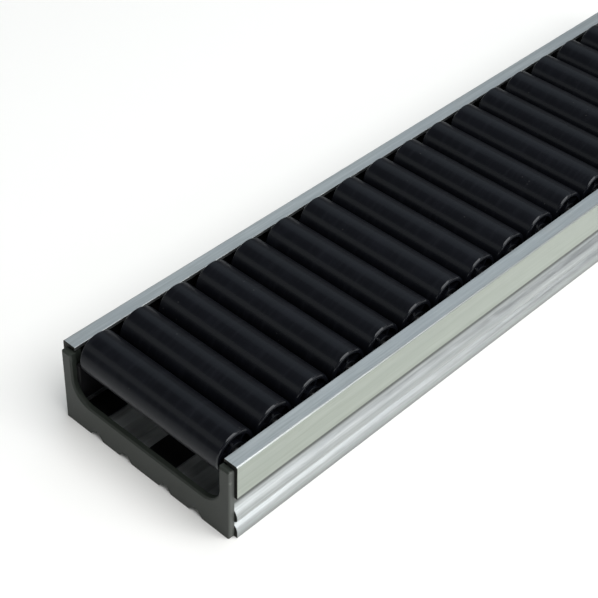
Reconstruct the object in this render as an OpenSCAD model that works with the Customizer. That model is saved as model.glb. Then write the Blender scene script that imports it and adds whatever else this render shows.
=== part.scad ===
// Flow rack roller track: an extruded channel with full-width rollers on fixed axles.
// X runs across the track, Y along it and Z up. The origin is the middle of its underside.

/* [Rollers] */
// Diameter of a roller
roller_d = 20; // [16:0.5:24]
// Gap between one roller and the next
roller_gap = 1.5; // [1:0.25:6]
// Gap between a roller's end face and the outside of the channel
roller_side_gap = 10.2; // [9.8:0.1:15]
// Radius that rounds the edge at each end of a roller
roller_edge_r = 1; // [0.5:0.1:1.8]
// Wall thickness of the roller's tube
roller_wall = 2; // [1.5:0.1:2.5]
// Distance from the axles up to the top of the channel's lips
axle_drop = 5.5; // [5:0.1:6]
// Distance from an end cap's outer face to the nearest roller
end_gap = 2.2; // [2:0.1:6]

/* [Hubs] */
// Diameter of the hub round the axle
hub_d = 9; // [7:0.5:11]
// How far a hub stands out of the roller's end face
hub_proud = 0.3; // [0.1:0.05:0.4]
// Depth of the ring-shaped recess between hub and tube
recess_depth = 4; // [1:0.1:4.5]
// Thickness of the web that joins hub and tube
web_t = 3; // [2:0.1:4]
// Length of a hub from its outer end to its inner end
hub_len = 8; // [7:0.5:12]
// Number of radial ribs in that recess
hub_rib_count = 6; // [3:1:8]
// Thickness of those ribs
hub_rib_t = 1.2; // [0.8:0.1:2]
// How far the ribs stay below the end face
hub_rib_set = 0.6; // [0.3:0.1:0.9]

/* [Axles] */
// Diameter of an axle
axle_d = 4; // [3:0.1:5]
// Chamfer on each end of an axle
axle_chamfer = 0.4; // [0.2:0.1:0.6]
// Gap between an axle's end and the outer wall of the bearing strip
axle_end_gap = 0.2; // [0.1:0.1:0.5]
// Radial play between an axle and a roller's hub
running_play = 0.05; // [0.02:0.01:0.08]
// Radial play between an axle and its saddle
saddle_play = 0.02; // [0.01:0.01:0.05]

/* [Channel] */
// Overall width of the channel
channel_w = 101; // [96:1:140]
// Height from the underside to the top of the lips
channel_h = 40; // [39:0.1:46]
// Wall thickness of the extrusion
wall = 1.7; // [1.4:0.1:2]
// Width of each lip, measured from the outside of the side wall
lip_w = 7.2; // [5:0.1:7.5]
// Outer radius between lip and side wall
lip_r = 0.9; // [0.5:0.1:1.4]
// Height of one side bead, of which there are two on each side
bead_h = 7.5; // [6.5:0.1:7.8]
// How far a bead's crest stands out of its foot
bead_depth = 1.9; // [1.2:0.1:2.2]
// Height of the side groove above the beads
groove_h = 7.3; // [6:0.1:7.6]
// Depth of the side groove
groove_depth = 2.2; // [1.8:0.1:2.6]

/* [Floor] */
// Distance from the middle to the inner floor flutes
inner_flute_x = 11.8; // [11.6:0.1:13]
// Distance from the middle to the outer floor flutes
outer_flute_x = 29.6; // [28:0.1:31]
// Width of a flute at the underside
flute_w = 7.8; // [6:0.1:8]
// Width of a flute at its top
flute_top_w = 2; // [1:0.1:3]
// Depth of a flute
flute_depth = 3.1; // [2:0.1:3.5]
// Thickness of the three liners that lie between the ridges and sides of the floor
liner_t = 1; // [0.6:0.1:2]
// Side play of a liner in its bay, and its gap to an end cap's plug
liner_play = 0.1; // [0.05:0.05:0.3]

/* [Bearing strips] */
// Gap between a roller's end face and the strip
strip_gap = 0.6; // [0.5:0.05:1]
// Thickness of the strip's inner wall, which holds the saddles
strip_wall = 2.2; // [1.6:0.1:2.3]
// Thickness of the strip's outer wall and seat
strip_back = 1.8; // [1.2:0.1:2.2]
// How far the inner wall stays below the axles between two saddles
strip_dip = 3.9; // [3.5:0.1:5]
// How far the inner wall reaches below the seat
skirt_drop = 12; // [6:0.5:14]
// Diameter of the rounded boss round each saddle
saddle_d = 7; // [6:0.1:7.4]
// How far a saddle's boss reaches behind the inner wall
boss_extra = 1; // [0.4:0.1:1.4]
// Width of the snap opening above a saddle
snap_w = 3.4; // [2.6:0.1:3.8]
// Thickness of the cross ribs of a strip
strip_rib_t = 1.4; // [1:0.1:2]
// Clearance of the strips in the channel and between each other
strip_play = 0.1; // [0.05:0.05:0.3]

/* [End caps] */
// Thickness of the end cap's plate
cap_t = 2.8; // [2:0.1:4]
// How far the channel's side stands out past the end cap
cap_inset = 1.6; // [0.5:0.1:2]
// How far the channel's lips stand above the end cap
cap_drop = 2.5; // [1.9:0.1:4]
// Width of the end cap's upright arms
cap_arm = 5.9; // [5:0.1:7]
// Height of the sill below the opening
cap_sill = 14; // [10:0.5:16]
// Radius of the opening's lower corners
cap_corner_r = 10; // [5:0.5:12]
// Radius that rounds the end cap's outer corners
cap_edge_r = 1; // [0.5:0.1:1.2]
// Chamfer round the outer face of the end cap
cap_chamfer = 0.7; // [0.3:0.1:1]
// Length of the plug that enters the channel
plug_len = 5; // [4:0.5:9]
// Height of the plug's side blocks
plug_h = 6.5; // [5:0.1:8]
// Wall thickness of the plug's side blocks
plug_wall = 1.6; // [1.2:0.1:2]
// Clearance between the plug and the channel
plug_play = 0.15; // [0.05:0.05:0.3]
// Length of the upper pegs, which enter the bearing strips
peg_len = 4; // [3:0.5:6]
// Clearance round those pegs
peg_play = 0.3; // [0.1:0.05:0.4]

/* [Hidden] */
roller_count = 20;
strip_count = 4;
rollers_per_strip = roller_count / strip_count;
roller_ids = [for (i = [1:roller_count]) i];
strip_ids = [for (i = [1:strip_count]) i];
function two_digits(i) = str(i < 10 ? "0" : "", i);
function roller_name(i) = str("roller_", two_digits(i));
function axle_name(i) = str("axle_", two_digits(i));
function strip_name(side, i) = str("bearing_strip_", side, "_", i);
$fn = 48;
eps = 0.01;
cut_over = 0.3;

// Along the track
roller_pitch = roller_d + roller_gap;
end_margin = roller_d / 2 + end_gap;
track_len = (roller_count - 1) * roller_pitch + 2 * end_margin;
channel_len = track_len - 2 * cap_t;
function axle_y(i) = -track_len / 2 + end_margin + (i - 1) * roller_pitch;

// Channel profile
half_w = channel_w / 2;
lip_edge_x = half_w - lip_w;
lip_under_z = channel_h - wall;
upper_in_x = half_w - wall;
groove_z = 2 * bead_h;
shoulder_under_z = groove_z + groove_h;
shoulder_z = shoulder_under_z + wall;
groove_x = half_w - groove_depth;
lower_in_x = groove_x - wall;
bead_r = (bead_h * bead_h / 4 + bead_depth * bead_depth) / (2 * bead_depth);
bead_x = half_w - bead_r;
flute_xs = [inner_flute_x, outer_flute_x];
flute_run = (flute_w - flute_top_w) / 2;
ridge_shift = wall * tan(atan2(flute_depth, flute_run) / 2);
ridge_foot = flute_w / 2 + ridge_shift;
liner_len = channel_len - 2 * (plug_len + liner_play);
liner_slope = liner_t * flute_run / flute_depth;

// Rollers, axles and the strips that carry them
roller_r = roller_d / 2;
roller_half = half_w - roller_side_gap;
axle_z = channel_h - axle_drop;
axle_r = axle_d / 2;
hub_end_x = roller_half + hub_proud;
strip_in_x = roller_half + strip_gap;
strip_out_x = upper_in_x - strip_play;
axle_half = strip_out_x - strip_back - axle_end_gap;
saddle_r = saddle_d / 2;
strip_top_z = lip_under_z - strip_play;
strip_low_z = axle_z - strip_dip;
boss_len = strip_wall + boss_extra;
hub_r = hub_d / 2;
hub_bore_r = axle_r + running_play;
tube_in_r = roller_r - roller_wall;
cavity_half = roller_half - recess_depth - web_t;

// End cap
cap_half_w = half_w - cap_inset;
cap_top_z = channel_h - cap_drop;
opening_half_w = cap_half_w - cap_arm;
cap_corner_x = opening_half_w - cap_corner_r;
cap_corner_z = cap_sill + cap_corner_r;
peg_x0 = strip_in_x + boss_len + peg_play;
peg_z0 = shoulder_z + strip_back + peg_play;
peg_z1 = cap_top_z - peg_play;
peg_x1 = strip_out_x - strip_back - peg_play;

// ---------- Channel ----------

// One side of the solid outline: floor to lip, with beads and groove on the outside
module outer_half() {
    square([lower_in_x, channel_h]);
    intersection() {
        for (k = [0:1]) translate([bead_x, (k + 0.5) * bead_h]) circle(r = bead_r);
        square([half_w, groove_z]);
    }
    square([half_w - bead_depth, groove_z]);
    translate([0, groove_z - eps]) square([groove_x, groove_h + 2 * eps]);
    translate([0, shoulder_under_z]) square([half_w, channel_h - lip_r - shoulder_under_z]);
    square([half_w - lip_r, channel_h]);
    translate([half_w - lip_r, channel_h - lip_r]) circle(r = lip_r);
}

// One side of the hollow inside the channel, widened behind each bead
module inner_half() {
    translate([-eps, wall]) square([lower_in_x + eps, shoulder_z - wall + eps]);
    intersection() {
        for (k = [0:1]) translate([bead_x, (k + 0.5) * bead_h]) circle(r = bead_r - wall);
        translate([0, wall]) square([half_w, groove_z]);
    }
    translate([-eps, shoulder_z]) square([upper_in_x + eps, lip_under_z - shoulder_z]);
    translate([-eps, shoulder_z]) square([lip_edge_x + eps, channel_h]);
}

// Ridge that the floor makes over a flute, with flanks as steep as the flute's
module ridge() {
    ridge_h = wall + flute_depth;
    top_half = flute_top_w / 2 + ridge_shift;
    foot_half = top_half + ridge_h * flute_run / flute_depth;
    polygon([[-foot_half, 0], [-top_half, ridge_h], [top_half, ridge_h], [foot_half, 0]]);
}

// Flute in the underside
module flute() {
    polygon([
        [-flute_w / 2, -eps],
        [-flute_w / 2, 0],
        [-flute_top_w / 2, flute_depth],
        [flute_top_w / 2, flute_depth],
        [flute_w / 2, 0],
        [flute_w / 2, -eps]
    ]);
}

module half_profile() {
    difference() {
        outer_half();
        difference() {
            inner_half();
            for (x = flute_xs) translate([x, 0]) ridge();
        }
        for (x = flute_xs) translate([x, 0]) flute();
    }
}

module channel() {
    color([0.72, 0.74, 0.74])
    rotate([90, 0, 0])
    linear_extrude(height = channel_len, center = true) {
        half_profile();
        mirror([1, 0]) half_profile();
    }
}

// Liner in the middle of the floor, held sideways by the sloping flanks of the inner ridges
module floor_liner() {
    foot = inner_flute_x - ridge_foot - liner_play;
    color([0.04, 0.04, 0.05])
    rotate([90, 0, 0])
    linear_extrude(height = liner_len, center = true)
    polygon([
        [-foot, wall],
        [foot, wall],
        [foot + liner_slope, wall + liner_t],
        [-foot - liner_slope, wall + liner_t]
    ]);
}

// Liner on the right side of the floor, between the outer ridge and the side wall
module side_liner() {
    foot = outer_flute_x + ridge_foot + liner_play;
    side = lower_in_x - liner_play;
    color([0.04, 0.04, 0.05])
    rotate([90, 0, 0])
    linear_extrude(height = liner_len, center = true)
    polygon([
        [foot, wall],
        [side, wall],
        [side, wall + liner_t],
        [foot - liner_slope, wall + liner_t]
    ]);
}

// ---------- End caps ----------

// Upright rectangle with its four corners rounded
module rounded_rect(x0, z0, x1, z1, r) {
    translate([x0 + r, z0]) square([x1 - x0 - 2 * r, z1 - z0]);
    translate([x0, z0 + r]) square([x1 - x0, z1 - z0 - 2 * r]);
    for (x = [x0 + r, x1 - r]) for (z = [z0 + r, z1 - r]) translate([x, z]) circle(r = r);
}

// Front view of the plate
module cap_outline() {
    difference() {
        rounded_rect(-cap_half_w, 0, cap_half_w, cap_top_z, cap_edge_r);
        rounded_rect(-opening_half_w, cap_sill, opening_half_w, 2 * channel_h, cap_corner_r);
        for (s = [-1, 1]) for (x = flute_xs) translate([s * x, 0]) flute();
    }
}

// Section of a chamfer cut: depth into the plate along x, distance from the edge along y
module chamfer_section() {
    polygon([
        [-cut_over, -cap_chamfer - cut_over],
        [cap_chamfer + cut_over, cut_over],
        [cap_chamfer + cut_over, 1],
        [-cut_over, 1]
    ]);
}

// Bar that cuts a chamfer along an edge at height 0, whose material lies below
module chamfer_bar(length) {
    rotate([90, 0, 90]) linear_extrude(height = length, center = true) chamfer_section();
}

// Quarter ring that carries the chamfer round the opening's lower right corner
module chamfer_corner() {
    rotate([-90, 0, 0]) rotate_extrude(angle = 90)
        translate([cap_corner_r, 0]) rotate([0, 0, 90])
        chamfer_section();
}

// Chamfer round the outer face: arm tops, sides and opening
module cap_chamfers() {
    arm_len = 2 * (cap_top_z - cap_corner_z);
    translate([0, 0, cap_top_z]) chamfer_bar(channel_w);
    translate([0, 0, cap_sill]) chamfer_bar(2 * cap_corner_x);
    for (s = [-1, 1]) {
        translate([s * cap_half_w, 0, cap_top_z / 2]) rotate([0, s * 90, 0])
            chamfer_bar(2 * channel_h);
        translate([s * opening_half_w, 0, cap_corner_z + arm_len / 2]) rotate([0, -s * 90, 0])
            chamfer_bar(arm_len);
    }
    for (s = [0, 1]) mirror([s, 0, 0])
        translate([cap_corner_x, 0, cap_corner_z]) chamfer_corner();
}

// Plate, with its outer face at y = 0
module cap_plate() {
    difference() {
        translate([0, cap_t, 0]) rotate([90, 0, 0]) linear_extrude(height = cap_t) cap_outline();
        cap_chamfers();
    }
}

// Block from x0 to x1 on the channel's floor, sloped at its free end so that it finds its way in
module plug_block(x0, x1, height) {
    translate([x0, cap_t, wall + plug_play])
    rotate([90, 0, 90])
    linear_extrude(height = x1 - x0)
    polygon([
        [-cap_t / 2, 0],
        [-cap_t / 2, height],
        [plug_len / 2, height],
        [plug_len, height / 2],
        [plug_len, 0]
    ]);
}

// Everything behind the plate on one side
module plug_half() {
    ridge_half = ridge_foot + plug_play;
    side_x0 = outer_flute_x + ridge_half;
    side_x1 = lower_in_x - plug_play;
    difference() {
        plug_block(side_x0, side_x1, plug_h);
        translate([side_x0 + plug_wall, cap_t + plug_wall, 0])
            cube([side_x1 - side_x0 - 2 * plug_wall, plug_len, wall + plug_play + plug_h - plug_wall]);
    }
    plug_block(inner_flute_x + ridge_half, outer_flute_x - ridge_half, plug_h - plug_wall);
    translate([peg_x0, cap_t / 2, peg_z0])
        cube([peg_x1 - peg_x0, cap_t / 2 + peg_len, peg_z1 - peg_z0]);
}

module end_cap() {
    color([0.23, 0.25, 0.23]) {
        cap_plate();
        plug_half();
        mirror([1, 0, 0]) plug_half();
    }
}

module end_cap_front() {
    translate([0, -track_len / 2, 0]) end_cap();
}

module end_cap_rear() {
    rotate([0, 0, 180]) end_cap_front();
}

// ---------- Bearing strips ----------

// Section of a strip: inner wall with its skirt, seat and outer wall
module strip_section() {
    translate([strip_in_x, shoulder_z - skirt_drop])
        square([strip_wall, skirt_drop + strip_low_z - shoulder_z]);
    translate([strip_in_x, shoulder_z])
        square([strip_out_x - strip_in_x, strip_back]);
    translate([strip_out_x - strip_back, shoulder_z])
        square([strip_back, strip_top_z - shoulder_z]);
}

// Rounded boss round one axle, standing on the seat
module saddle_boss() {
    translate([strip_in_x, 0, axle_z]) rotate([0, 90, 0])
        cylinder(r = saddle_r, h = boss_len);
    translate([strip_in_x, -saddle_r, shoulder_z])
        cube([boss_len, saddle_d, axle_z - shoulder_z]);
}

// Bore for one axle, open at the top through a narrower gap
module saddle_cut() {
    translate([strip_in_x - eps, 0, axle_z]) rotate([0, 90, 0])
        cylinder(r = axle_r + saddle_play, h = boss_len + 2 * eps);
    translate([strip_in_x - eps, -snap_w / 2, axle_z])
        cube([boss_len + 2 * eps, snap_w, channel_h - axle_z]);
}

module strip_rib(y) {
    translate([strip_in_x + eps, y - strip_rib_t / 2, shoulder_z + eps])
        cube([strip_out_x - strip_in_x - 2 * eps, strip_rib_t, strip_low_z - shoulder_z - 2 * eps]);
}

// Piece number i of a row, on the right side
module bearing_strip(i) {
    first = (i - 1) * rollers_per_strip + 1;
    last = i * rollers_per_strip;
    y0 = i == 1 ? -channel_len / 2 : axle_y(first) - roller_pitch / 2;
    y1 = i == strip_count ? channel_len / 2 : axle_y(last) + roller_pitch / 2;
    color([0.07, 0.07, 0.08])
    difference() {
        union() {
            translate([0, y1 - strip_play / 2, 0]) rotate([90, 0, 0])
                linear_extrude(height = y1 - y0 - strip_play) strip_section();
            for (k = [first:last]) translate([0, axle_y(k), 0]) saddle_boss();
            for (k = [first:last - 1]) strip_rib(axle_y(k) + roller_pitch / 2);
        }
        for (k = [first:last]) translate([0, axle_y(k), 0]) saddle_cut();
    }
}

// ---------- Rollers and axles ----------

module axle(i) {
    color([0.78, 0.78, 0.80])
    translate([0, axle_y(i), axle_z]) rotate([0, 90, 0])
    rotate_extrude()
    polygon([
        [0, -axle_half],
        [axle_r - axle_chamfer, -axle_half],
        [axle_r, -axle_half + axle_chamfer],
        [axle_r, axle_half - axle_chamfer],
        [axle_r - axle_chamfer, axle_half],
        [0, axle_half]
    ]);
}

// Half of a roller's section, from its middle to one end: radius along x, length along y
module roller_section() {
    difference() {
        union() {
            square([roller_r, roller_half - roller_edge_r]);
            square([roller_r - roller_edge_r, roller_half]);
            translate([roller_r - roller_edge_r, roller_half - roller_edge_r])
                circle(r = roller_edge_r);
        }
        translate([-eps, -eps]) square([tube_in_r + eps, cavity_half + eps]);
        translate([hub_r, roller_half - recess_depth])
            square([tube_in_r - hub_r, recess_depth + eps]);
        translate([-eps, 0]) square([hub_bore_r + eps, 2 * roller_half]);
    }
    translate([hub_bore_r, hub_end_x - hub_len]) square([hub_r - hub_bore_r, hub_len]);
}

// Radial ribs in the recess of one end face
module hub_ribs() {
    for (a = [0:hub_rib_count - 1]) rotate([0, 0, a * 360 / hub_rib_count])
        translate([hub_r - hub_rib_t / 2, -hub_rib_t / 2, cavity_half + web_t - eps])
            cube([tube_in_r - hub_r + hub_rib_t, hub_rib_t, recess_depth - hub_rib_set]);
}

module roller(i) {
    color([0.08, 0.08, 0.09])
    translate([0, axle_y(i), axle_z]) rotate([0, 90, 0]) {
        rotate_extrude() {
            roller_section();
            mirror([0, 1]) roller_section();
        }
        hub_ribs();
        mirror([0, 0, 1]) hub_ribs();
    }
}

// ---------- Assembly ----------

channel();
floor_liner();
mirror([1, 0, 0]) side_liner();  // side_liner_left
side_liner();  // side_liner_right
end_cap_front();
end_cap_rear();
for (i = strip_ids) {
    mirror([1, 0, 0]) bearing_strip(i);
    bearing_strip(i);
}
for (i = roller_ids) {
    axle(i);
    roller(i);
}
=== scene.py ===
import math
import random

import bmesh
import bpy
from mathutils import Matrix, Quaternion, Vector


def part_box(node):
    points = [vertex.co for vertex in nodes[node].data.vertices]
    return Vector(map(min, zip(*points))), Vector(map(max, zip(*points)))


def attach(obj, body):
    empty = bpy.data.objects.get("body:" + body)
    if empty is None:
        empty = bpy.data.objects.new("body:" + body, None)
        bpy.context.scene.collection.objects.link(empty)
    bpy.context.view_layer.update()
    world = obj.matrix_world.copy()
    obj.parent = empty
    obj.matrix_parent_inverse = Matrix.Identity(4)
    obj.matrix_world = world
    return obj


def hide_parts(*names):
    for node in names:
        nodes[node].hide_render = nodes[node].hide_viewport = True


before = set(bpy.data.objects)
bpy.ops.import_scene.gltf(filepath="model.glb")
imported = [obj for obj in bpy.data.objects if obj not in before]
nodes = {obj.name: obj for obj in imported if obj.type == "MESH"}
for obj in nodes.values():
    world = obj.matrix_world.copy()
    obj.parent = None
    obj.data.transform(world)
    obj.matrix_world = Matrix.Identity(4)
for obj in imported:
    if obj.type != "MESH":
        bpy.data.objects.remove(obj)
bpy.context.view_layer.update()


# --- The channel -----------------------------------------------------------
# One aluminium extrusion: floor with four flutes, two sides with a pair of beads
# and a groove, and a lip along the top of each side. It comes off the press in
# bar length, so its die lines run along the track, and it is sawn to length.


class Signal:
    """A socket in a finish's nodes, so that sums on finishes are written as sums."""

    def __init__(self, socket):
        self.socket = socket
        self.tree = socket.id_data

    def node(self, kind, settings, inputs, output=0):
        """Adds a node of this kind, sets it up, feeds its sockets and gives an output."""
        made = self.tree.nodes.new(kind)
        for name, value in settings.items():
            setattr(made, name, value)
        for name, value in inputs.items():
            if isinstance(value, Signal):
                self.tree.links.new(value.socket, made.inputs[name])
            else:
                made.inputs[name].default_value = value
        return Signal(made.outputs[output])

    def sum_with(self, operation, first, second):
        return self.node("ShaderNodeMath", {"operation": operation}, {0: first, 1: second})

    def __add__(self, other):
        return self.sum_with("ADD", self, other)

    def __radd__(self, other):
        return self.sum_with("ADD", other, self)

    def __sub__(self, other):
        return self.sum_with("SUBTRACT", self, other)

    def __rsub__(self, other):
        return self.sum_with("SUBTRACT", other, self)

    def __mul__(self, other):
        return self.sum_with("MULTIPLY", self, other)

    def __rmul__(self, other):
        return self.sum_with("MULTIPLY", other, self)

    def size(self):
        """The value without its sign."""
        return self.node("ShaderNodeMath", {"operation": "ABSOLUTE"}, {0: self})

    def rise(self, low, high):
        """0 below low and 1 above high, with a soft step between them."""
        span = {"From Min": low, "From Max": high, "Value": self}
        return self.node("ShaderNodeMapRange", {"interpolation_type": "SMOOTHSTEP"}, span)

    def stretched(self, x, y, z):
        """Coordinates multiplied along each axis, for a grain that is drawn out."""
        sizes = {"Vector": self, "Scale": (x, y, z)}
        return self.node("ShaderNodeMapping", {}, sizes)

    def grain(self, scale, detail=3.0, roughness=0.5):
        """Cloudy grain from 0 to 1, of this many lumps to the metre."""
        lumps = {"Vector": self, "Scale": scale, "Detail": detail, "Roughness": roughness}
        return self.node("ShaderNodeTexNoise", {}, lumps)

    def shade(self, dark, light):
        """A colour that goes from dark at 0 to light at 1."""
        ends = {0: self, 6: (*dark, 1.0), 7: (*light, 1.0)}
        return self.node("ShaderNodeMix", {"data_type": "RGBA"}, ends, 2)

    def over(self, colour, paint):
        """The colour, covered with the paint where this value is 1."""
        ends = {0: self, 6: colour, 7: (*paint, 1.0)}
        return self.node("ShaderNodeMix", {"data_type": "RGBA"}, ends, 2)

    def relief(self, depth, strength=1.0):
        """The normal of a surface that this value raises by up to depth metres."""
        raised = {"Height": self, "Distance": depth, "Strength": strength}
        return self.node("ShaderNodeBump", {}, raised)


class Finish:
    """A material: one shader, whose fixed values are set here, and its coordinates."""

    def __init__(self, name, fixed):
        self.material = bpy.data.materials.new(name)
        self.material.use_nodes = True
        self.tree = self.material.node_tree
        self.tree.nodes.clear()
        self.shader = self.tree.nodes.new("ShaderNodeBsdfPrincipled")
        output = self.tree.nodes.new("ShaderNodeOutputMaterial")
        self.tree.links.new(self.shader.outputs[0], output.inputs["Surface"])
        for socket, value in fixed.items():
            self.shader.inputs[socket].default_value = value
        self.place = Signal(self.tree.nodes.new("ShaderNodeTexCoord").outputs["Object"])

    def axis(self, number):
        """One of the three coordinates, in metres."""
        return self.place.node("ShaderNodeSeparateXYZ", {}, {0: self.place}, number)

    def gets(self, socket, signal):
        self.tree.links.new(signal.socket, self.shader.inputs[socket])

    def put_on(self, piece):
        piece.data.materials.clear()
        piece.data.materials.append(self.material)


channel_side, channel_end, channel_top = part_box("channel")[1]
flutes_out = (0.0118, 0.0296)
flute_foot = 0.0039
flute_crown = 0.0010
flute_deep = 0.0031
ridge_foot = 0.0046375
ridge_crown = 0.0017375
floor_thick = 0.0017
underside_radius = 0.0002
ridge_radius = 0.0003
corner_turns = 8
burr = 0.00012
same_place = 0.000002
sharp_from = math.radians(30.0)

# Corners of the right half of the section, from the middle of the underside round the
# outside to the lip and back along the inside: how far out, how high, how far rounded.
section = [(0.0, 0.0, 0)]
for middle in flutes_out:
    section += [
        (middle - flute_foot, 0.0, underside_radius),
        (middle - flute_crown, flute_deep, underside_radius),
        (middle + flute_crown, flute_deep, underside_radius),
        (middle + flute_foot, 0.0, underside_radius),
    ]
section += [
    (channel_side, 0.0, underside_radius), (channel_side, 0.0045, 0.0015), (0.0483, 0.0068, 0.0005),
    (0.0485, 0.0080, 0.0004), (channel_side, 0.0093, 0.0010), (channel_side, 0.0126, 0.0019),
    (0.0475, 0.0163, 0.0017), (0.0475, 0.0223, 0.0006), (channel_side, 0.0223, 0.00025),
    (channel_side, channel_top, 0.0009), (0.0433, channel_top, 0.0002),
    (0.0433, 0.0383, 0.0002), (0.0488, 0.0383, 0.0003), (0.0488, 0.0240, 0.0002),
    (0.0457, 0.0240, 0.0002), (0.0457, 0.0159, 0.0006), (0.0466, 0.0144, 0.0005),
    (0.0488, 0.0126, 0.0010), (0.0488, 0.0098, 0.0008), (0.0466, 0.0088, 0.0006),
    (0.0466, 0.0056, 0.0005), (0.0488, 0.0042, 0.0008), (0.0488, floor_thick, 0.0004),
]
for middle in reversed(flutes_out):
    section += [
        (middle + ridge_foot, floor_thick, ridge_radius),
        (middle + ridge_crown, floor_thick + flute_deep, ridge_radius),
        (middle - ridge_crown, floor_thick + flute_deep, ridge_radius),
        (middle - ridge_foot, floor_thick, ridge_radius),
    ]
section += [(0.0, floor_thick, 0)]


def long_edges(work, out, up):
    """The edges that run the length of the bar at this corner of the section, both sides."""
    found = []
    for edge in work.edges:
        first, second = (corner.co for corner in edge.verts)
        runs = abs(first.y - second.y) > channel_end
        off = [abs(abs(corner.x) - out) + abs(corner.z - up) for corner in (first, second)]
        if runs and max(off) < same_place:
            found.append(edge)
    return found


bar = bmesh.new()
corners = [bar.verts.new((out, -channel_end, up)) for out, up, _ in section]
for first, second in zip(corners, corners[1:]):
    bar.edges.new((first, second))
half = bar.verts[:] + bar.edges[:]
bmesh.ops.mirror(bar, geom=half, matrix=Matrix(), merge_dist=same_place / 2, axis="X")
bmesh.ops.contextual_create(bar, geom=bar.edges[:])
pressed = bmesh.ops.extrude_face_region(bar, geom=bar.faces[:])["geom"]
far_corners = [part for part in pressed if isinstance(part, bmesh.types.BMVert)]
bmesh.ops.translate(bar, vec=(0, 2 * channel_end, 0), verts=far_corners)
bmesh.ops.recalc_face_normals(bar, faces=bar.faces)
for out, up, radius in section:
    if radius:
        bmesh.ops.bevel(
            bar, geom=long_edges(bar, out, up), offset=radius, offset_type="OFFSET",
            segments=corner_turns, profile=0.5, affect="EDGES", material=-1, clamp_overlap=False)
sawn_edges = [e for e in bar.edges if abs(e.verts[0].co.y - e.verts[1].co.y) < same_place / 2]
bmesh.ops.bevel(
    bar, geom=sawn_edges, offset=burr, offset_type="OFFSET", segments=2, profile=0.5,
    affect="EDGES", material=-1, clamp_overlap=False)
for face in bar.faces:
    face.smooth = True
for edge in bar.edges:
    runs = abs(edge.verts[0].co.y - edge.verts[1].co.y) > channel_end
    edge.smooth = runs and edge.calc_face_angle(0.0) < sharp_from
mesh = bpy.data.meshes.new("extruded_channel")
bar.to_mesh(mesh)
bar.free()
channel = bpy.data.objects.new("extruded_channel", mesh)
bpy.context.scene.collection.objects.link(channel)


def keep_flats(piece):
    """Lets the broad faces set the shading, so that only the rounded edges look round."""
    shading = piece.modifiers.new("flats_stay_flat", "WEIGHTED_NORMAL")
    shading.mode = "FACE_AREA"
    shading.weight = 50
    shading.keep_sharp = True


keep_flats(channel)

aluminium = Finish("pressed_aluminium", {"Metallic": 0.92, "Specular IOR Level": 0.5})
along = aluminium.place.stretched(1.0, 0.010, 1.0)
die_lines = along.grain(420.0, 5.0, 0.66)
hair_lines = aluminium.place.stretched(1.0, 0.035, 1.0).grain(1500.0, 4.0, 0.65)
clouds = aluminium.place.stretched(1.0, 0.35, 1.0).grain(75.0, 4.0, 0.6)
handled = aluminium.place.stretched(1.0, 0.5, 1.0).grain(120.0, 4.0, 0.6).rise(0.56, 0.72)
streaks = die_lines.rise(0.30, 0.70) * 0.55 + hair_lines.rise(0.25, 0.75) * 0.45
metal = streaks.shade((0.305, 0.325, 0.325), (0.545, 0.57, 0.575))
metal = (clouds.rise(0.42, 0.66) * 0.45).over(metal, (0.385, 0.41, 0.425))
out = aluminium.axis(0).size()
up = aluminium.axis(2)
panel_low = 0.0224
panel_high = 0.0396
below_lip = 1.0 - up.rise(panel_high - 0.0003, panel_high + 0.0003)
panel = out.rise(0.0496, 0.0503) * up.rise(panel_low - 0.0002, panel_low + 0.0002) * below_lip
# Painted reflection and shade: the flat outer wall above the groove is coloured darker and greener
# than the rest of the metal, for the floor it reflects.
metal = (panel * 0.5).over(metal, (0.345, 0.39, 0.30))
# Painted shade: the floor inside, under the rollers, is coloured darker for the shade the rollers
# cast on it.
inside = (1.0 - out.rise(0.0405, 0.0415)) * (1.0 - up.rise(0.0100, 0.0110))
metal = (inside * 0.25).over(metal, (0.18, 0.20, 0.215))
# Painted shade: the top of the groove under the outer wall and the wall's lower edge are coloured
# near-black, for the shade under the ledge.
ledge = out.rise(0.0465, 0.0470) * up.rise(0.0160, 0.0176) * (1.0 - out.rise(0.0485, 0.0495))
painted_groove_shade = (ledge + panel) * (1.0 - up.rise(panel_low + 0.0003, panel_low + 0.0011))
metal = (painted_groove_shade * 0.90).over(metal, (0.085, 0.09, 0.085))
# Painted shade: the lowest few millimetres of each outer side are coloured darker, for the shaded
# floor they reflect next to the track.
foot = out.rise(0.0492, 0.0500) * (1.0 - up.rise(0.0006, 0.0032))
metal = (foot * 0.55).over(metal, (0.20, 0.205, 0.195))
# Painted shade: the sawn end faces are coloured near-black, for the shade at the channel's ends
# beside the caps.
sawn = aluminium.axis(1).size().rise(channel_end - burr, channel_end - burr / 3)
aluminium.gets("Base Color", sawn.over(metal, (0.020, 0.021, 0.018)))
aluminium.gets("Roughness", 0.27 + streaks * 0.16 + handled * 0.10 + (sawn + inside) * 0.25)
aluminium.gets("Normal", (die_lines * 0.6 + hair_lines * 0.4).relief(0.00005, 0.6))
aluminium.put_on(channel)
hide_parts("channel")
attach(channel, "track")


# --- The floor liner -------------------------------------------------------
# A black plastic strip that lies loose on the floor between its two inner ridges
# and keeps the bare metal from ringing. It is cut from a coil.

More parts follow.
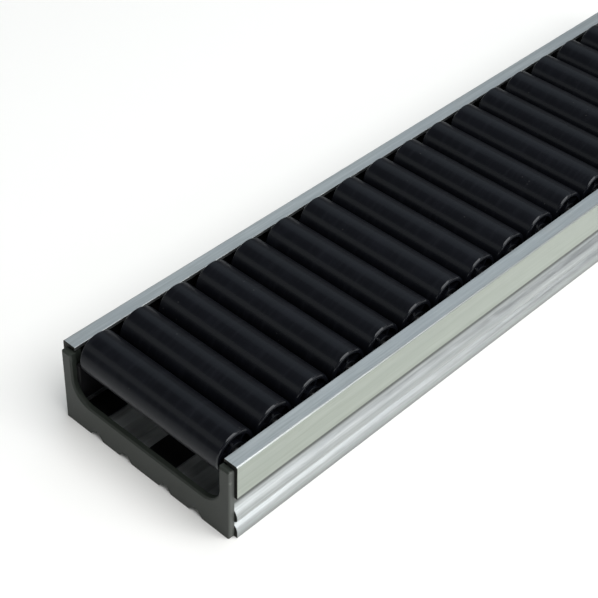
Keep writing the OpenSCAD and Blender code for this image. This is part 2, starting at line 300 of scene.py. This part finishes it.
liner_plastic = Finish("liner_plastic", {"Specular IOR Level": 0.10})
rolled = liner_plastic.place.stretched(1.0, 0.03, 1.0).grain(900.0, 3.0)
liner_dust = liner_plastic.place.grain(160.0, 4.0, 0.6).rise(0.55, 0.8)
liner_plastic.gets("Base Color", (rolled * 0.5 + liner_dust * 0.5).shade(
    (0.003, 0.003, 0.004), (0.009, 0.009, 0.010)))
liner_plastic.gets("Roughness", 0.55 + rolled * 0.2)
liner_plastic.gets("Normal", rolled.relief(0.00004, 0.6))
for name in sorted(nodes):
    if "liner" in name:
        liner_plastic.put_on(nodes[name])


# --- The bearing strips ----------------------------------------------------
# Eight black mouldings, four to a side, that stand on the channel's shoulders under
# the lips. The axles are pressed down into their saddles from above.

strip_plastic = Finish("strip_plastic", {"Specular IOR Level": 0.15})
strip_grain = strip_plastic.place.grain(2400.0, 2.0)
strip_tone = strip_plastic.place.grain(45.0, 3.0)
strip_plastic.gets("Base Color", strip_tone.shade((0.005, 0.005, 0.006), (0.010, 0.010, 0.011)))
strip_plastic.gets("Roughness", 0.48 + strip_grain * 0.16)
strip_plastic.gets("Normal", strip_grain.relief(0.00003, 0.5))
for name in sorted(nodes):
    if name.startswith("bearing_strip"):
        strip_plastic.put_on(nodes[name])


# --- The axles -------------------------------------------------------------
# Twenty bright drawn steel rods, cut to length and chamfered, that stay still in
# the saddles while the rollers turn on them.

drawn_steel = Finish("drawn_steel", {"Metallic": 1.0})
turned_lines = drawn_steel.place.stretched(0.02, 1.0, 1.0).grain(5000.0, 2.0)
drawn_steel.gets("Base Color", turned_lines.shade((0.42, 0.43, 0.44), (0.62, 0.63, 0.64)))
drawn_steel.gets("Roughness", 0.22 + turned_lines * 0.16)
drawn_steel.gets("Normal", turned_lines.relief(0.00001, 0.4))
for name in sorted(nodes):
    if name.startswith("axle"):
        drawn_steel.put_on(nodes[name])


# --- The rollers -----------------------------------------------------------
# Twenty hollow rollers moulded in black plastic. Each has a web and a hub at either
# end, with ribs between hub and tube, and a rounded edge that loads slide on to.

roller_length = 0.0806
roller_radius = 0.010
roller_edge = 0.0010
roller_wall = 0.002
hub_radius = 0.0045
hub_stands_out = 0.0003
hub_long = 0.008
recess = 0.0040
web = 0.003
bore_radius = 0.00205
rib_count = 6
rib_thick = 0.0012
rib_below = 0.0006
rib_sunk = 0.0003
hub_chamfer = 0.0003
fine_chamfer = 0.0002
roller_end = roller_length / 2
roller_turns = 72
edge_turns = 6

roller_plastic = Finish("roller_plastic", {
    "Specular IOR Level": 0.12, "Specular Tint": (0.78, 0.88, 1.0, 1.0),
    "Coat Roughness": 0.12, "Coat Tint": (0.9, 0.95, 1.0, 1.0)})
travel = roller_plastic.place.stretched(1.0, 0.10, 0.10)
rubbed = travel.grain(420.0, 4.0, 0.6).rise(0.45, 0.8)
skin = roller_plastic.place.grain(3200.0, 2.0)
batch = roller_plastic.place.stretched(0.25, 1.0, 0.25).grain(48.0, 1.0)
smears = roller_plastic.place.grain(70.0, 4.0, 0.6).rise(0.48, 0.75)
speck_cells = {"Vector": roller_plastic.place, "Scale": 330.0, "Randomness": 1.0}
speck_gap = roller_plastic.place.node("ShaderNodeTexVoronoi", {}, speck_cells)
speck_pick = roller_plastic.place.grain(61.0, 1.0).rise(0.60, 0.64)
specks = (1.0 - speck_gap.rise(0.055, 0.11)) * speck_pick
black = (batch * 0.6 + smears * 0.4).shade((0.0027, 0.0029, 0.0040), (0.0056, 0.0061, 0.0090))
black = (rubbed * 0.35).over(black, (0.0108, 0.0115, 0.0150))
outward = roller_plastic.axis(0).size()
inside_end = 1.0 - outward.rise(roller_end - 0.0001, roller_end)
worn_edge = outward.rise(roller_end - 0.0011, roller_end - 0.0007) * inside_end
# Painted shade: the hub faces at the roller ends are coloured darker than the rest, for the shade
# between the roller ends and the strips.
hub_end = outward.rise(roller_end + 0.00005, roller_end + 0.00015)
black = (hub_end * 0.8).over(black, (0.0012, 0.0012, 0.0014))
roller_plastic.gets("Base Color", (specks * 0.55).over(black, (0.060, 0.060, 0.058)))
matt = smears * 0.06 + rubbed * 0.08 + skin * 0.05 + hub_end * 0.3
roller_plastic.gets("Roughness", 0.30 + matt - worn_edge * 0.12)
roller_plastic.gets("Coat Weight", 0.06 + worn_edge * 0.5 - hub_end * 0.06)
roller_plastic.gets("Normal", (skin * 0.7 + rubbed * 0.3).relief(0.000028, 0.5))


def roller_outline():
    """The section of tube, webs and hubs: distances along the axle and from it."""
    hub_outside = roller_end + hub_stands_out
    hub_inside = hub_outside - hub_long
    web_inside = roller_end - recess - web
    tube_inside = roller_radius - roller_wall
    side = [(hub_inside, bore_radius), (hub_outside - fine_chamfer, bore_radius)]
    side += [(hub_outside, bore_radius + fine_chamfer), (hub_outside, hub_radius - hub_chamfer)]
    side += [(hub_outside - hub_chamfer, hub_radius), (roller_end - recess, hub_radius)]
    side += [(roller_end - recess, tube_inside), (roller_end - fine_chamfer, tube_inside)]
    side += [(roller_end, tube_inside + fine_chamfer)]
    for step in range(edge_turns + 1):
        turn = math.radians(90.0) * step / edge_turns
        back = roller_edge * (1 - math.cos(turn))
        down = roller_edge * (1 - math.sin(turn))
        side.append((roller_end - back, roller_radius - down))
    other_side = [(-along_axle, out) for along_axle, out in reversed(side)]
    cavity = [(-hub_inside, hub_radius), (-web_inside, hub_radius)]
    cavity += [(-web_inside, tube_inside), (web_inside, tube_inside)]
    cavity += [(web_inside, hub_radius), (hub_inside, hub_radius)]
    return side + other_side + cavity


def moulded_roller(name, axis):
    """A roller about this point of its axle, with the ribs at a turn of its own."""
    work = bmesh.new()
    corners = [work.verts.new(axis + Vector((side, 0, out))) for side, out in roller_outline()]
    edges = [work.edges.new((corners[i - 1], corners[i])) for i in range(len(corners))]
    bmesh.ops.spin(
        work, geom=corners + edges, cent=axis, axis=(1, 0, 0), angle=math.tau,
        steps=roller_turns, use_merge=True, use_duplicate=False)
    bmesh.ops.remove_doubles(work, verts=work.verts, dist=same_place / 2)
    bmesh.ops.recalc_face_normals(work, faces=work.faces)
    first_turn = settled.uniform(0.0, 360.0 / rib_count)
    rib_out = (hub_radius + roller_radius - roller_wall) / 2
    rib_tall = roller_radius - roller_wall - hub_radius + 2 * rib_sunk
    rib_deep = recess - rib_below + rib_sunk
    rib_middle = roller_end - rib_below - rib_deep / 2
    for end in (-1, 1):
        for number in range(rib_count):
            turn = math.radians(first_turn + 360.0 * number / rib_count)
            rib = bmesh.ops.create_cube(work, size=1.0)["verts"]
            bmesh.ops.scale(work, vec=(rib_deep, rib_thick, rib_tall), verts=rib)
            bmesh.ops.translate(work, vec=(end * rib_middle, 0, rib_out), verts=rib)
            bmesh.ops.rotate(work, cent=(0, 0, 0), verts=rib, matrix=Matrix.Rotation(turn, 3, "X"))
            bmesh.ops.translate(work, vec=axis, verts=rib)
    for face in work.faces:
        face.smooth = True
    for edge in work.edges:
        edge.smooth = len(edge.link_faces) == 2 and edge.calc_face_angle() < sharp_from
    mesh = bpy.data.meshes.new(name)
    work.to_mesh(mesh)
    work.free()
    piece = bpy.data.objects.new(name, mesh)
    bpy.context.scene.collection.objects.link(piece)
    keep_flats(piece)
    return piece


settled = random.Random(7)
for number in range(1, 21):
    node = f"roller_{number:02d}"
    low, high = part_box(node)
    roller = moulded_roller(f"moulded_roller_{number:02d}", (low + high) / 2)
    roller_plastic.put_on(roller)
    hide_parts(node)
    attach(roller, f"roller_body_{number:02d}")


# --- The end caps ----------------------------------------------------------
# Two dark grey-green plastic mouldings with a fine matt skin. Their plugs push into
# the sawn ends of the channel, and their opening leaves the space under the rollers free.

cap_plastic = Finish("cap_plastic", {"Specular IOR Level": 0.30})
cap_skin = cap_plastic.place.grain(1900.0, 3.0, 0.6)
cap_flow = cap_plastic.place.stretched(1.0, 1.0, 1.8).grain(60.0, 4.0, 0.6)
cap_rub = cap_plastic.place.grain(240.0, 4.0, 0.65).rise(0.55, 0.78)
cap_high = cap_plastic.axis(2).rise(0.030, 0.0375)
cap_tone = (cap_flow * 0.7 + cap_skin * 0.3).shade((0.0130, 0.0166, 0.0132), (0.0250, 0.0305, 0.0255))
cap_tone = (cap_rub * (0.25 + cap_high * 0.45)).over(cap_tone, (0.070, 0.080, 0.072))
# Painted light: the caps' outer side faces are coloured much lighter than the fronts, for the light
# falling on them from the right; rub marks show there as well.
cap_side = cap_plastic.axis(0).size().rise(0.0481, 0.0487)
cap_tone = (cap_side * (0.35 + cap_rub * 0.5)).over(cap_tone, (0.19, 0.20, 0.19))
cap_plastic.gets("Base Color", cap_tone)
cap_plastic.gets("Roughness", 0.42 + cap_skin * 0.14 + cap_rub * 0.08)
cap_plastic.gets("Normal", cap_skin.relief(0.00005, 0.6))


def soften(piece, width, turns):
    """Joins a piece's triangles and breaks its sharp edges, as a mould's radii do."""
    weld = piece.modifiers.new("joined", "WELD")
    weld.merge_threshold = 0.000004
    bevel = piece.modifiers.new("broken_edges", "BEVEL")
    bevel.width = width
    bevel.segments = turns
    bevel.limit_method = "ANGLE"
    bevel.angle_limit = math.radians(35.0)
    bevel.use_clamp_overlap = True


for name in ("end_cap_front", "end_cap_rear"):
    cap_plastic.put_on(nodes[name])
    soften(nodes[name], 0.00022, 2)


# --- The studio ------------------------------------------------------------
# A plain pale floor under one large soft light overhead. Two smaller ones light the right
# side, one lights the lips, and two weak ones the near end, which stays the darkest.

ground_work = bmesh.new()
bmesh.ops.create_grid(ground_work, x_segments=1, y_segments=1, size=4.0)
ground_mesh = bpy.data.meshes.new("ground")
ground_work.to_mesh(ground_mesh)
ground_work.free()
ground = bpy.data.objects.new("ground", ground_mesh)
bpy.context.scene.collection.objects.link(ground)
pale = Finish("pale_ground", {"Base Color": (0.90, 0.90, 0.89, 1.0), "Roughness": 0.9})
pale.put_on(ground)


def soft_light(name, spot, width, height, power, tint):
    """A soft box at this spot, turned towards the track."""
    lamp = bpy.data.lights.new(name, "AREA")
    lamp.shape = "RECTANGLE"
    lamp.size = width
    lamp.size_y = height
    lamp.energy = power
    lamp.color = tint
    holder = bpy.data.objects.new(name, lamp)
    turn = (-Vector(spot)).to_track_quat("-Z", "Y")
    holder.matrix_world = Matrix.Translation(spot) @ turn.to_matrix().to_4x4()
    holder.visible_camera = False
    bpy.context.scene.collection.objects.link(holder)


soft_light("overhead_right", (0.75, 0.00, 1.75), 1.8, 2.2, 45.5, (1.0, 1.0, 0.99))
soft_light("far_right", (1.47, 0.33, 0.49), 0.8, 0.8, 5.3, (1.0, 1.0, 1.0))
soft_light("far_right_high", (0.98, 0.83, 0.93), 0.9, 0.7, 3.0, (1.0, 1.0, 1.0))
soft_light("far_left", (-0.85, 1.00, 1.34), 1.34, 1.30, 4.2, (0.82, 0.93, 1.0))
soft_light("near_left", (-0.84, -1.21, 0.91), 0.8, 0.6, 1.9, (1.0, 1.0, 0.94))
soft_light("near_right", (0.50, -0.75, 0.14), 0.5, 0.2, 0.35, (1.0, 1.0, 1.0))

surround = bpy.data.worlds.new("surround")
surround.use_nodes = True
surround.node_tree.nodes["Background"].inputs["Color"].default_value = (0.95, 0.97, 1.0, 1.0)
surround.node_tree.nodes["Background"].inputs["Strength"].default_value = 0.16
bpy.context.scene.world = surround
bpy.context.scene.view_settings.view_transform = "Standard"

lens = bpy.data.cameras.new("view")
lens.lens = 94.67
lens.sensor_width = 36.0
lens.clip_start = 0.05
viewer = bpy.data.objects.new("view", lens)
spot = Vector((0.3378, -0.49925, 0.47447))
aim = Vector((-0.00800, -0.11817, 0.03000))
lean = Quaternion((0.0, 0.0, 1.0), 0.0359)
turn = (aim - spot).to_track_quat("-Z", "Y") @ lean
viewer.matrix_world = Matrix.Translation(spot) @ turn.to_matrix().to_4x4()
bpy.context.scene.collection.objects.link(viewer)
bpy.context.scene.camera = viewer
